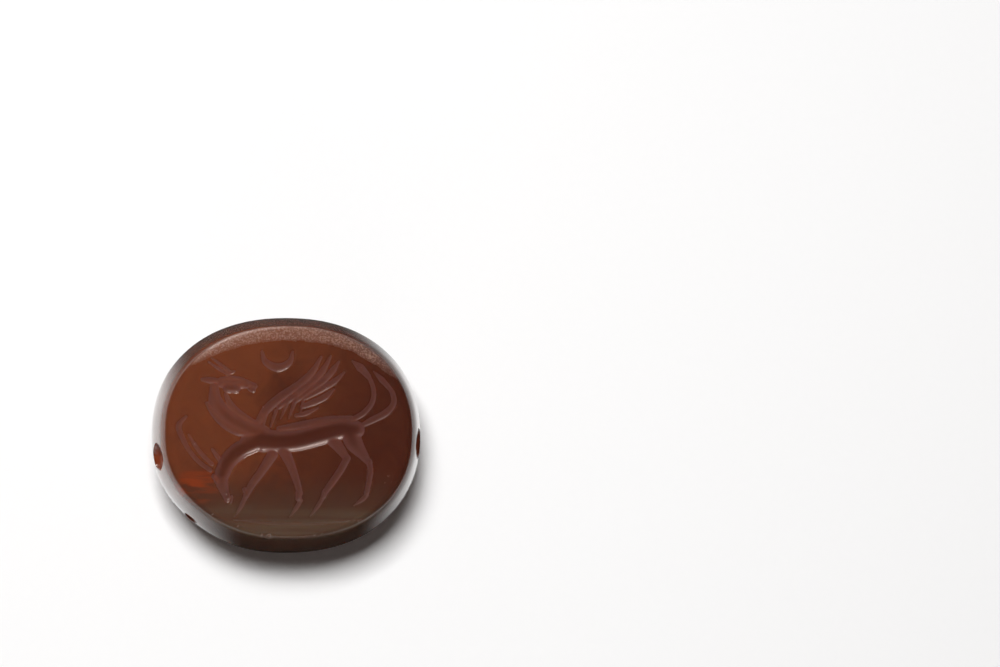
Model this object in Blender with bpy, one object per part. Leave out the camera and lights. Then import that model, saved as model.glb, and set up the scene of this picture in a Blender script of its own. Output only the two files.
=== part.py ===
"""A scaraboid amulet: an oval carnelian seal stone with a domed back, a lengthwise
bore and an engraved face. It lies on its back with the face up, in metres."""

import math

import bmesh
import bpy
from mathutils import Matrix, Vector

# Overall sizes
LENGTH = 0.0152
WIDTH = 0.0133
THICKNESS = 0.0086
SQUARENESS = 2.2

# Flank, from the face down to the girth
FACE_TO_GIRTH = 0.0032
FACE_INSET_AT_ENDS = 0.00065
FACE_INSET_AT_SIDES = 0.0008
FLANK_CURVE = 1.6

# Domed back and the small flat it rests on
DOME_FULLNESS = 2.1
FLAT_SPOT_LENGTH = 0.0026

# Rim of the face: a slight bevel, and a wide worn band along the upper side
RIM_BEVEL = 0.0001
RIM_BEVEL_DROP = 0.00008
WORN_BAND = 0.00068
WORN_BAND_DROP = 0.00016
WORN_BAND_MIDDLE = math.radians(90)
WORN_BAND_HALF_SPAN = math.radians(62)

# Bore from end to end, slightly askew, with worn hollows at both mouths
BORE_DIAMETER = 0.0010
BORE_MOUTH_DIAMETER = 0.0013
BORE_FLARE_LENGTH = 0.0011
BORE_CUT_PAST_END = 0.0008
BORE_BELOW_FACE = 0.0020
BORE_TURN = math.radians(2.8)
BORE_ASIDE = -0.00100
MOUTH_WEAR_ABOVE_BORE = 0.0004
MOUTH_WEAR_WIDTH = 0.0019
MOUTH_WEAR_HEIGHT = 0.0025
MOUTH_WEAR_DEPTH = 0.00064

# Chips, each with the direction it lies in from the middle of the stone
GIRTH_CHIP_LENGTH = 0.0011
GIRTH_CHIP_DEPTH = 0.00016
GIRTH_CHIP_DIRECTION = math.radians(222)
RIM_CHIP_LENGTH = 0.0005
RIM_CHIP_DEPTH = 0.0002
RIM_CHIP_DIRECTION = math.radians(262)

# Engraving cuts: a round-nosed gouge, deeper for its width in fine strokes than in broad ones.
# A stroke's end is full, blunt, narrow or pointed, as a share of its width
FINE_DEPTH_PER_WIDTH = 0.45
BROAD_DEPTH_PER_WIDTH = 0.34
CUT_CLEARANCE = 0.00006
CUT_OVERLAP = 0.000003
BODY_WIDTH = 0.00122
CHEST_WIDTH = 0.00135
NECK_WIDTH = 0.00110
HEAD_WIDTH = 0.00072
THIGH_WIDTH = 0.00100
FAR_THIGH_WIDTH = 0.00075
FORELEG_WIDTH = 0.00062
SHANK_WIDTH = 0.00036
FETLOCK_WIDTH = 0.00031
HOOF_WIDTH = 0.00028
FEATHER_WIDTH = 0.00033
TAIL_WIDTH = 0.00030
TUFT_WIDTH = 0.00044
HORN_WIDTH = 0.00023
MANE_WIDTH = 0.00032
CRESCENT_WIDTH = 0.00042
GROUND_LINE_WIDTH = 0.00012
FULL_END = 1.0
BLUNT_END = 0.8
NARROW_END = 0.5
POINTED_END = 0.35

# The figure's landmarks, as shares of the face's half length and half width:
# a striding winged beast with one head turned back and one lowered, and two tails
CHEST = ((-0.33, -0.09), (-0.22, -0.08), (-0.10, -0.06))
TRUNK = ((-0.16, -0.075), (0.03, -0.058), (0.23, -0.008), (0.42, 0.035), (0.53, 0.02))
BACK_LINE = ((-0.08, 0.04), (0.12, 0.06), (0.32, 0.11), (0.50, 0.14))
RAISED_NECK = ((-0.59, 0.45), (-0.59, 0.29), (-0.50, 0.14), (-0.36, 0.04), (-0.22, -0.02))
RAISED_MANE = ((-0.66, 0.27), (-0.60, 0.17), (-0.52, 0.07), (-0.42, 0.00), (-0.33, -0.02))
RAISED_THROAT = ((-0.51, 0.34), (-0.47, 0.25), (-0.40, 0.17), (-0.30, 0.09))
RAISED_HEAD = ((-0.54, 0.46), (-0.46, 0.45), (-0.36, 0.46), (-0.29, 0.44))
RAISED_BROW = ((-0.55, 0.50), (-0.47, 0.51), (-0.39, 0.50), (-0.28, 0.44))
RAISED_JAW = ((-0.34, 0.39), (-0.29, 0.38))
RAISED_EAR = ((-0.70, 0.50), (-0.63, 0.49), (-0.55, 0.49))
RAISED_HORN = ((-0.49, 0.55), (-0.58, 0.61), (-0.68, 0.67))
LOWERED_NECK = ((-0.27, -0.11), (-0.40, -0.17), (-0.49, -0.27), (-0.54, -0.39))
LOWERED_HEAD = ((-0.54, -0.38), (-0.54, -0.48), (-0.52, -0.56), (-0.50, -0.64))
LOWERED_BROW = ((-0.60, -0.42), (-0.58, -0.46))
LOWERED_MUZZLE = ((-0.51, -0.56), (-0.49, -0.62))
LOWERED_EAR = ((-0.62, -0.16), (-0.58, -0.22), (-0.55, -0.29))
OUTER_LONG_HORN = ((-0.63, -0.36), (-0.72, -0.29), (-0.80, -0.18), (-0.86, -0.05), (-0.88, 0.06))
INNER_LONG_HORN = ((-0.62, -0.30), (-0.68, -0.23), (-0.75, -0.14), (-0.81, -0.03))
NEAR_TAIL = ((0.52, 0.13), (0.60, 0.19), (0.66, 0.28), (0.68, 0.39), (0.65, 0.50), (0.60, 0.56))
FAR_TAIL = ((0.57, 0.06), (0.66, 0.12), (0.77, 0.19), (0.83, 0.27), (0.83, 0.38), (0.78, 0.46))
NEAR_TUFT = ((0.63, 0.54), (0.57, 0.62), (0.50, 0.68))
FAR_TUFT = ((0.80, 0.43), (0.74, 0.50), (0.68, 0.58))
GROUND_LINE = ((-0.45, -0.83), (-0.14, -0.87), (0.17, -0.87), (0.59, -0.83))

# Each leg's top, knee or hock, fetlock and toe, with the heel a share of the way to the toe
NEAR_HIND_LEG = ((0.48, 0.01), (0.64, -0.29), (0.62, -0.58), (0.51, -0.70))
FAR_HIND_LEG = ((0.34, -0.06), (0.46, -0.25), (0.28, -0.58), (0.16, -0.80))
NEAR_FORE_LEG = ((-0.05, -0.16), (0.02, -0.36), (0.08, -0.62), (0.00, -0.81))
FAR_FORE_LEG = ((-0.14, -0.21), (-0.24, -0.39), (-0.35, -0.59), (-0.44, -0.81))
HEEL_PLACE = 0.4

# The wing's feathers, from the leading edge down, run from a root to a tip and bow a little
FEATHER_ROOTS = ((-0.25, 0.09), (-0.09, 0.24), (0.04, 0.29), (0.13, 0.32), (0.11, 0.25), (0.05, 0.16))
FEATHER_TIPS = ((0.25, 0.72), (0.33, 0.73), (0.40, 0.67), (0.44, 0.57), (0.35, 0.41), (0.22, 0.23))
FEATHER_BOW = 0.055
FEATHER_BOW_PLACE = 0.62

# The crescent over the back
CRESCENT_MIDDLE = (-0.095, 0.722)
CRESCENT_DIAMETER = 0.00170
CRESCENT_OPENING = math.radians(170)

# Facets
SHARP_ANGLE = math.radians(35)
ROUND_FACETS = 72
FLANK_RINGS = 6
DOME_RINGS = 11
CURVE_STEPS = 3
GOUGE_FACETS = 6
END_RINGS = 2
END_BLUNTNESS = 0.3
BORE_FACETS = 20
CRESCENT_POINTS = 7
HOLLOW_DETAIL = 3

# Worked out from the sizes above
HALF_LENGTH = LENGTH / 2
HALF_WIDTH = WIDTH / 2
FACE_HALF_LENGTH = HALF_LENGTH - FACE_INSET_AT_ENDS
FACE_HALF_WIDTH = HALF_WIDTH - FACE_INSET_AT_SIDES
GIRTH_HEIGHT = THICKNESS - FACE_TO_GIRTH
FLAT_SPOT_SHARE = FLAT_SPOT_LENGTH / LENGTH
BORE_HEIGHT = THICKNESS - BORE_BELOW_FACE


def clear_scene():
    for thing in list(bpy.data.objects):
        bpy.data.objects.remove(thing, do_unlink=True)


def carnelian():
    """Polished reddish brown stone."""
    material = bpy.data.materials.new("carnelian")
    material.use_nodes = True
    shader = material.node_tree.nodes["Principled BSDF"]
    shader.inputs["Base Color"].default_value = (0.118, 0.031, 0.012, 1.0)
    shader.inputs["Roughness"].default_value = 0.22
    shader.inputs["Metallic"].default_value = 0.0
    return material


def add_object(name, work, collection):
    """The shape as an object, shaded smooth but for its ends and sharp edges."""
    mesh = bpy.data.meshes.new(name)
    work.to_mesh(mesh)
    work.free()
    flat = [face.index for face in mesh.polygons if not face.use_smooth]
    mesh.set_sharp_from_angle(angle=SHARP_ANGLE)
    for index in flat:
        mesh.polygons[index].use_smooth = False
    thing = bpy.data.objects.new(name, mesh)
    collection.objects.link(thing)
    return thing


def add_cutter(name, work, collection):
    """A closed solid that only cuts: it's never rendered itself."""
    cutter = add_object(name, work, collection)
    cutter.hide_render = True
    cutter.display_type = "WIRE"
    return cutter


def loft(levels):
    """A closed solid through rings of points, each ring seen anticlockwise from the next."""
    work = bmesh.new()
    rings = [[work.verts.new(point) for point in level] for level in levels]
    for lower, upper in zip(rings, rings[1:]):
        for i in range(len(lower)):
            side = work.faces.new((lower[i - 1], lower[i], upper[i], upper[i - 1]))
            side.smooth = True
    work.faces.new(reversed(rings[0]))
    work.faces.new(rings[-1])
    return work


def signed_power(value, power):
    return math.copysign(abs(value) ** power, value)


def oval(angle, half_length, half_width):
    """A point of the rounded outline that every level of the stone has."""
    x = half_length * signed_power(math.cos(angle), 2 / SQUARENESS)
    y = half_width * signed_power(math.sin(angle), 2 / SQUARENESS)
    return x, y


def wear(angle):
    """How worn the rim is in this direction: 1 at the middle of the worn band, 0 away from it."""
    away = abs(math.remainder(angle - WORN_BAND_MIDDLE, math.tau)) / WORN_BAND_HALF_SPAN
    return max(0.0, 1 - away**4)


def mix(first, last, share):
    return first + (last - first) * share


def flank_point(angle, height):
    """A point of the flank this high above the girth."""
    inset = (height / FACE_TO_GIRTH) ** FLANK_CURVE
    half_length = HALF_LENGTH - FACE_INSET_AT_ENDS * inset
    half_width = HALF_WIDTH - FACE_INSET_AT_SIDES * inset
    x, y = oval(angle, half_length, half_width)
    return Vector((x, y, GIRTH_HEIGHT + height))


def dome_point(angle, turn):
    """A point of the back, from turn 0 at the girth to the edge of the flat spot."""
    last_turn = math.acos(FLAT_SPOT_SHARE ** (DOME_FULLNESS / 2))
    share = math.cos(turn * last_turn) ** (2 / DOME_FULLNESS)
    fall = (math.sin(turn * last_turn) / math.sin(last_turn)) ** (2 / DOME_FULLNESS)
    x, y = oval(angle, HALF_LENGTH * share, HALF_WIDTH * share)
    return Vector((x, y, GIRTH_HEIGHT * (1 - fall)))


def stone_levels():
    """The rings of points of the uncut stone, from the flat spot up to the edge of the face."""
    angles = [math.tau * i / ROUND_FACETS for i in range(ROUND_FACETS)]
    levels = []
    for ring in range(DOME_RINGS):
        levels.append([dome_point(angle, 1 - ring / DOME_RINGS) for angle in angles])
    for ring in range(FLANK_RINGS + 1):
        level = []
        for angle in angles:
            drop = mix(RIM_BEVEL_DROP, WORN_BAND_DROP, wear(angle))
            level.append(flank_point(angle, (FACE_TO_GIRTH - drop) * ring / FLANK_RINGS))
        levels.append(level)
    edge = []
    for angle in angles:
        band = mix(RIM_BEVEL, WORN_BAND, wear(angle))
        x, y = oval(angle, FACE_HALF_LENGTH - band, FACE_HALF_WIDTH - band)
        edge.append(Vector((x, y, THICKNESS)))
    levels.append(edge)
    return levels


def uncut_stone(collection, material):
    stone = add_object("seal_stone", loft(stone_levels()), collection)
    stone.data.materials.append(material)
    return stone


def on_face(landmark):
    """The place of a landmark on the face, which is level with the top."""
    return Vector((landmark[0] * FACE_HALF_LENGTH, landmark[1] * FACE_HALF_WIDTH))


def smooth_path(points, widths):
    """Closely spaced points on a curve through these, each with the width there."""
    ends = [points[0] * 2 - points[1]] + points + [points[-1] * 2 - points[-2]]
    path = []
    for i in range(1, len(points)):
        before, start, stop, after = ends[i - 1 : i + 3]
        slope = stop - before
        curl = before * 2 - start * 5 + stop * 4 - after
        twist = start * 3 - before - stop * 3 + after
        for step in range(CURVE_STEPS):
            share = step / CURVE_STEPS
            place = start + (slope * share + curl * share**2 + twist * share**3) / 2
            path.append((place, mix(widths[i - 1], widths[i], share)))
    path.append((points[-1], widths[-1]))
    return path


def with_rounded_ends(path):
    """The path with narrowing rings added at both ends, where the gouge rises out of the stone."""
    rings = list(path)
    for end, beside in ((0, 1), (-1, -2)):
        place, width = path[end]
        outward = (place - path[beside][0]).normalized() * width / 2
        for step in range(1, END_RINGS + 1):
            share = math.sin(math.pi / 2 * step / (END_RINGS + END_BLUNTNESS))
            ring = (place + outward * share, width * math.sqrt(1 - share**2))
            rings.insert(0 if end == 0 else len(rings), ring)
    return rings


def gouge_section(place, across, width, depth):
    """Points of the round-nosed cut's section, from one top corner down, round and up to the other."""
    radius = (width**2 / 4 + depth**2) / (2 * depth)
    reach = math.acos(1 - (depth + CUT_OVERLAP) / radius)
    offsets = [(-radius * math.sin(reach), CUT_CLEARANCE)]
    for i in range(GOUGE_FACETS + 1):
        turn = mix(-reach, reach, i / GOUGE_FACETS)
        offsets.append((radius * math.sin(turn), radius * (1 - math.cos(turn)) - depth))
    offsets.append((radius * math.sin(reach), CUT_CLEARANCE))
    points = []
    for aside, up in offsets:
        side = place + across * aside
        points.append(Vector((side.x, side.y, THICKNESS + up)))
    return points


def gouge(name, points, widths, collection, depth_per_width=FINE_DEPTH_PER_WIDTH):
    """A cut with a round-nosed gouge along a smooth curve, with rounded ends."""
    path = with_rounded_ends(smooth_path(points, widths))
    sections = []
    for i, (place, width) in enumerate(path):
        along = path[min(i + 1, len(path) - 1)][0] - path[max(i - 1, 0)][0]
        across = Vector((-along.y, along.x)).normalized()
        sections.append(gouge_section(place, across, width, width * depth_per_width))
    return add_cutter(name, loft(sections), collection)


def tapered(count, width, start=POINTED_END, stop=POINTED_END):
    """Widths along a stroke that is narrower at its ends."""
    widths = [width] * count
    widths[0] = width * start
    widths[-1] = width * stop
    return widths


def engrave(name, landmarks, width, collection, ends=(POINTED_END, POINTED_END)):
    """A fine stroke through these landmarks of the face."""
    points = [on_face(landmark) for landmark in landmarks]
    gouge(name, points, tapered(len(points), width, *ends), collection)


def engrave_broad(name, landmarks, width, collection, ends):
    """A broad, shallow stroke through these landmarks of the face."""
    points = [on_face(landmark) for landmark in landmarks]
    gouge(name, points, tapered(len(points), width, *ends), collection, BROAD_DEPTH_PER_WIDTH)


def engrave_body(cuts):
    engrave_broad("chest", CHEST, CHEST_WIDTH, cuts, (BLUNT_END, BLUNT_END))
    engrave_broad("trunk", TRUNK, BODY_WIDTH, cuts, (FULL_END, BLUNT_END))
    engrave("back_line", BACK_LINE, MANE_WIDTH, cuts)
    engrave_broad("raised_neck", RAISED_NECK, NECK_WIDTH, cuts, (NARROW_END, FULL_END))
    engrave_broad("lowered_neck", LOWERED_NECK, NECK_WIDTH, cuts, (BLUNT_END, BLUNT_END))
    engrave("mane", RAISED_MANE, MANE_WIDTH, cuts)
    engrave("throat", RAISED_THROAT, MANE_WIDTH, cuts)


def engrave_heads(cuts):
    engrave_broad("raised_head", RAISED_HEAD, HEAD_WIDTH, cuts, (FULL_END, NARROW_END))
    engrave("raised_brow", RAISED_BROW, HORN_WIDTH, cuts, (BLUNT_END, FULL_END))
    engrave("raised_jaw", RAISED_JAW, HORN_WIDTH, cuts, (BLUNT_END, BLUNT_END))
    engrave("raised_ear", RAISED_EAR, MANE_WIDTH, cuts)
    engrave_broad("lowered_head", LOWERED_HEAD, HEAD_WIDTH, cuts, (FULL_END, NARROW_END))
    engrave("lowered_brow", LOWERED_BROW, MANE_WIDTH, cuts, (BLUNT_END, BLUNT_END))
    engrave("lowered_muzzle", LOWERED_MUZZLE, MANE_WIDTH, cuts, (BLUNT_END, BLUNT_END))
    engrave("lowered_ear", LOWERED_EAR, HORN_WIDTH, cuts)


def engrave_horns(cuts):
    """The raised head has a short pair side by side, the lowered one a long curved pair."""
    low = [on_face(landmark) for landmark in RAISED_HORN]
    along = (low[-1] - low[0]).normalized()
    aside = Vector((along.y, -along.x)) * HORN_WIDTH
    for i in range(2):
        points = [point + aside * i for point in low]
        gouge(f"raised_horn_{i}", points, tapered(len(points), HORN_WIDTH, FULL_END), cuts)
    engrave("outer_long_horn", OUTER_LONG_HORN, HORN_WIDTH, cuts, (FULL_END, POINTED_END))
    engrave("inner_long_horn", INNER_LONG_HORN, HORN_WIDTH, cuts, (FULL_END, POINTED_END))


def engrave_wing(cuts):
    for i, (root, tip) in enumerate(zip(FEATHER_ROOTS, FEATHER_TIPS)):
        start = on_face(root)
        stop = on_face(tip)
        bow = Vector((stop.y - start.y, start.x - stop.x)) * FEATHER_BOW
        feather = [start, start.lerp(stop, FEATHER_BOW_PLACE) + bow, stop]
        gouge(f"feather_{i}", feather, tapered(len(feather), FEATHER_WIDTH, BLUNT_END), cuts)


def engrave_legs(cuts):
    """Each leg narrows down to its shank and fetlock, and ends in a tapering hoof."""
    legs = (
        ("near_hind", NEAR_HIND_LEG, THIGH_WIDTH),
        ("far_hind", FAR_HIND_LEG, FAR_THIGH_WIDTH),
        ("near_fore", NEAR_FORE_LEG, FORELEG_WIDTH),
        ("far_fore", FAR_FORE_LEG, FORELEG_WIDTH),
    )
    for name, leg, width in legs:
        top, knee, fetlock, toe = [on_face(landmark) for landmark in leg]
        gouge(f"{name}_thigh", [top, knee], [width, SHANK_WIDTH], cuts, BROAD_DEPTH_PER_WIDTH)
        gouge(f"{name}_shank", [knee, fetlock], [SHANK_WIDTH, FETLOCK_WIDTH], cuts)
        hoof = [fetlock, fetlock.lerp(toe, HEEL_PLACE), toe]
        gouge(f"{name}_hoof", hoof, tapered(len(hoof), HOOF_WIDTH, FULL_END), cuts)


def engrave_tails(cuts):
    for name, tail, tuft in (("near", NEAR_TAIL, NEAR_TUFT), ("far", FAR_TAIL, FAR_TUFT)):
        engrave(f"{name}_tail", tail, TAIL_WIDTH, cuts, (FULL_END, BLUNT_END))
        engrave(f"{name}_tuft", tuft, TUFT_WIDTH, cuts, (BLUNT_END, POINTED_END))


def engrave_crescent(cuts):
    """An arc open at the top, widest at its middle."""
    middle = on_face(CRESCENT_MIDDLE)
    points = []
    widths = []
    for i in range(CRESCENT_POINTS):
        from_middle = 2 * i / (CRESCENT_POINTS - 1) - 1
        swing = CRESCENT_OPENING / 2 * from_middle
        points.append(middle + Vector((math.sin(swing), -math.cos(swing))) * CRESCENT_DIAMETER / 2)
        widths.append(CRESCENT_WIDTH * mix(FULL_END, POINTED_END, abs(from_middle)))
    gouge("crescent", points, widths, cuts)


def bore(collection):
    """A straight hole along the stone, wider at both mouths."""
    end = HALF_LENGTH + BORE_CUT_PAST_END
    throat = HALF_LENGTH - BORE_FLARE_LENGTH
    flare = (BORE_MOUTH_DIAMETER - BORE_DIAMETER) / 2 * (end - throat) / BORE_FLARE_LENGTH
    angles = [math.tau * i / BORE_FACETS for i in range(BORE_FACETS)]
    rings = []
    for x, wider in ((-end, flare), (-throat, 0), (throat, 0), (end, flare)):
        radius = BORE_DIAMETER / 2 + wider
        rings.append([(x, radius * math.cos(angle), radius * math.sin(angle)) for angle in angles])
    work = loft(rings)
    place = Matrix.Translation((0, BORE_ASIDE, BORE_HEIGHT)) @ Matrix.Rotation(BORE_TURN, 4, "Z")
    bmesh.ops.transform(work, matrix=place, verts=work.verts)
    return add_cutter("bore", work, collection)


def hollow(name, middle, radii, turn, collection):
    """A rounded hollow, such as a chip or a worn mouth."""
    work = bmesh.new()
    bmesh.ops.create_icosphere(work, subdivisions=HOLLOW_DETAIL, radius=1.0)
    shape = Matrix.Translation(middle) @ Matrix.Rotation(turn, 4, "Z") @ Matrix.Diagonal((*radii, 1))
    bmesh.ops.transform(work, matrix=shape, verts=work.verts)
    for face in work.faces:
        face.smooth = True
    return add_cutter(name, work, collection)


def chip(name, place, length, depth, height, collection):
    """A chip struck off an edge, running along it at this place."""
    inward = math.atan2(place.y, place.x)
    hollow(name, place, (depth, length / 2, height / 2), inward, collection)


def wear_and_chips(cuts):
    for name, side in (("left", -1), ("right", 1)):
        x = side * HALF_LENGTH
        place = (x, BORE_ASIDE + x * math.tan(BORE_TURN), BORE_HEIGHT + MOUTH_WEAR_ABOVE_BORE)
        radii = (MOUTH_WEAR_DEPTH, MOUTH_WEAR_WIDTH / 2, MOUTH_WEAR_HEIGHT / 2)
        hollow(f"{name}_mouth_wear", place, radii, 0, cuts)
    girth = flank_point(GIRTH_CHIP_DIRECTION, 0)
    chip("girth_chip", girth, GIRTH_CHIP_LENGTH, GIRTH_CHIP_DEPTH, GIRTH_CHIP_LENGTH, cuts)
    rim = flank_point(RIM_CHIP_DIRECTION, FACE_TO_GIRTH)
    chip("rim_chip", rim, RIM_CHIP_LENGTH, RIM_CHIP_DEPTH, RIM_CHIP_LENGTH, cuts)


def cut_away(stone, collection, name):
    modifier = stone.modifiers.new(name, "BOOLEAN")
    modifier.operation = "DIFFERENCE"
    modifier.solver = "EXACT"
    modifier.operand_type = "COLLECTION"
    modifier.collection = collection


def main():
    clear_scene()
    scene = bpy.context.scene.collection
    stone = uncut_stone(scene, carnelian())

    holes = bpy.data.collections.new("bore, wear and chips")
    scene.children.link(holes)
    bore(holes)
    wear_and_chips(holes)
    cut_away(stone, holes, "Bore, wear and chips")

    cuts = bpy.data.collections.new("engraving")
    scene.children.link(cuts)
    engrave_body(cuts)
    engrave_heads(cuts)
    engrave_horns(cuts)
    engrave_wing(cuts)
    engrave_legs(cuts)
    engrave_tails(cuts)
    engrave_crescent(cuts)
    engrave("ground_line", GROUND_LINE, GROUND_LINE_WIDTH, cuts)
    cut_away(stone, cuts, "Engraving")


main()
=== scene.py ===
"""The looks of a carnelian scaraboid seal: one finely carved stone, a pale table and
soft studio light. Lengths are in metres, and the figure is drawn in millimetres."""

import collections
import math

import bmesh
import bpy
import numpy as np
from bpy.props import FloatProperty, FloatVectorProperty, IntProperty, PointerProperty
from mathutils import Matrix, Vector, noise


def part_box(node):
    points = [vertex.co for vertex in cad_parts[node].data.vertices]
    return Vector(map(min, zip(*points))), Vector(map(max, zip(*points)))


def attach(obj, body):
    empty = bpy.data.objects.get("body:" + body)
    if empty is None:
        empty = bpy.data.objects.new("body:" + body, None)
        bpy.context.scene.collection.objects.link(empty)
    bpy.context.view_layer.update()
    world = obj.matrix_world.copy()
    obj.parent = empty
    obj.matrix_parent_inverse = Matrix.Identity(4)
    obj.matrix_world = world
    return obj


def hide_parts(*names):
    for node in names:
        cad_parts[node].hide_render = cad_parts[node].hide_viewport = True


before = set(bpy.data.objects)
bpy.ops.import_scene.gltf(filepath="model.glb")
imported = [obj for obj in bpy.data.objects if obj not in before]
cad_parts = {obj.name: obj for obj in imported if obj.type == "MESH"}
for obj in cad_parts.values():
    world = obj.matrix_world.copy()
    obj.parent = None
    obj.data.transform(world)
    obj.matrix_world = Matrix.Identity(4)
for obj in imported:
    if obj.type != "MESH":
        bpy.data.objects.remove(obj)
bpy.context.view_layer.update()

bl_info = {
    "name": "Scaraboid Seal",
    "version": (1, 0, 0),
    "blender": (4, 5, 0),
    "location": "3D View > Sidebar > Seal",
    "description": "Carves and finishes a carnelian scaraboid seal on its table",
    "category": "Object",
}

STONE_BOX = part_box("seal_stone")
MM = 0.001

# Outline and heights of the stone
HALF_LENGTH = (STONE_BOX[1].x - STONE_BOX[0].x) / 2
HALF_WIDTH = (STONE_BOX[1].y - STONE_BOX[0].y) / 2
THICKNESS = STONE_BOX[1].z
SQUARENESS = 2.2
FACE_TO_GIRTH = 3.2 * MM
GIRTH_HEIGHT = THICKNESS - FACE_TO_GIRTH
FACE_HALF_LENGTH = HALF_LENGTH - 0.65 * MM
FACE_HALF_WIDTH = HALF_WIDTH - 0.8 * MM
FLANK_CURVE = 1.6
DOME_FULLNESS = 2.1
FLAT_SPOT_SHARE = 1.3 * MM / HALF_LENGTH
FLATTER_SIDE = math.radians(-134)
FLATTER_SPAN = math.radians(36)
FLATTER_BY = 0.02

# Rim: a soft edge all round, softest at the two ends, with its reach down the flank in its own
# widths, and a worn band along the upper side
SIDE_ROUND = 0.14 * MM
END_ROUND = 0.6 * MM
END_ROUND_CURVE = 1.1
EDGE_REACH = 1.4
WORN_BAND = 0.74 * MM
WORN_DROP = 0.16 * MM
WORN_CURVE = 1.15
WORN_END_CURVE = 4
WORN_MIDDLE = math.radians(85)
WORN_HALF_SPAN = math.radians(61)

# Frost on the worn band: its uneven inner border, its grains, and how far down the edge it goes
BAND_UNEVENNESS = 0.14
BAND_PATCH_SIZE = 0.8 * MM
FROST_FADE = 0.5 * MM
FROST_LEAD = 0.45
FINE_GRAIN = 0.1 * MM
COARSE_GRAIN = 0.3 * MM
COARSE_GRAIN_SHARE = 0.6
GRAINS_START = 0.12 * MM
GRAINS_FADE = 0.3 * MM
FROST_DROP = 0.22 * MM
FROST_DROP_FADE = 0.16 * MM

# A faint line of frost just inside the lower rim, spread over this turn in radians
LOWER_LINE_TURN = 0.55
LOWER_LINE_INWARD = 0.05 * MM
LOWER_LINE_HALF_WIDTH = 0.1 * MM
LOWER_LINE_FROST = 0.5

# Bore and its worn mouths
BORE_DIAMETER = 1.0 * MM
BORE_MOUTH_DIAMETER = 1.3 * MM
BORE_FLARE_LENGTH = 1.1 * MM
BORE_PAST_END = 0.8 * MM
BORE_HEIGHT = THICKNESS - 2.0 * MM
BORE_TURN = math.radians(2.8)
BORE_ASIDE = -1.0 * MM
LEFT_MOUTH_WEAR = Vector((0.92, 0.84, 1.25)) * MM
RIGHT_MOUTH_WEAR = Vector((0.64, 0.95, 1.25)) * MM
MOUTH_WEAR_ABOVE_BORE = 0.4 * MM
MOUTH_UNEVENNESS = 0.1

# Chip just above the girth
CHIP_DIRECTION = math.radians(225)
CHIP_RADII = Vector((0.3, 0.46, 0.5)) * MM
CHIP_ABOVE_GIRTH = 0.5 * MM
CHIP_UNEVENNESS = 0.12
CHIP_SEED = 2

# Size of the lumps in a hollow's wall, and their roughness, lacunarity and octaves
LUMP_SCALE = 1.6
LUMP_FRACTAL = (0.8, 2.0, 3)

# How a surface is told apart: what lies near the face, what slopes, and what is cut into the flank
NEAR_FACE = 0.75 * MM
STEEP_SLOPE = 0.3
BORED_LEVEL = 0.995
BORED_FADE = 0.012
BORED_BELOW_FACE = 0.5 * MM
BORED_ABOVE_TABLE = 0.2 * MM
CRISP_BELOW_FACE = 0.6 * MM
CRISP_ANGLE = math.radians(38)

# Fineness of the mesh, with the flank's rings crowded towards the rim
FACE_COLUMNS = 276
FACE_ROWS = 232
EDGE_RINGS = 5
FLANK_RINGS = 8
RING_CROWDING = 1.3
DOME_RINGS = 12
BORE_SIDES = 48
PATH_STEPS = 6
SAME_PLACE = 0.001 * MM

# Cuts: how a cut grows shallower where it narrows, its steepest edge, and how far from its
# border it still blends with others, in millimetres
DEPTH_TAPER = 0.85
STEEPEST_EDGE = 1.5
CUT_REACH = 0.7

# A stroke of the engraving: points on the face and the cut's width there, in millimetres,
# with the depth at its widest
Stroke = collections.namedtuple("Stroke", "points widths depth")

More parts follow.
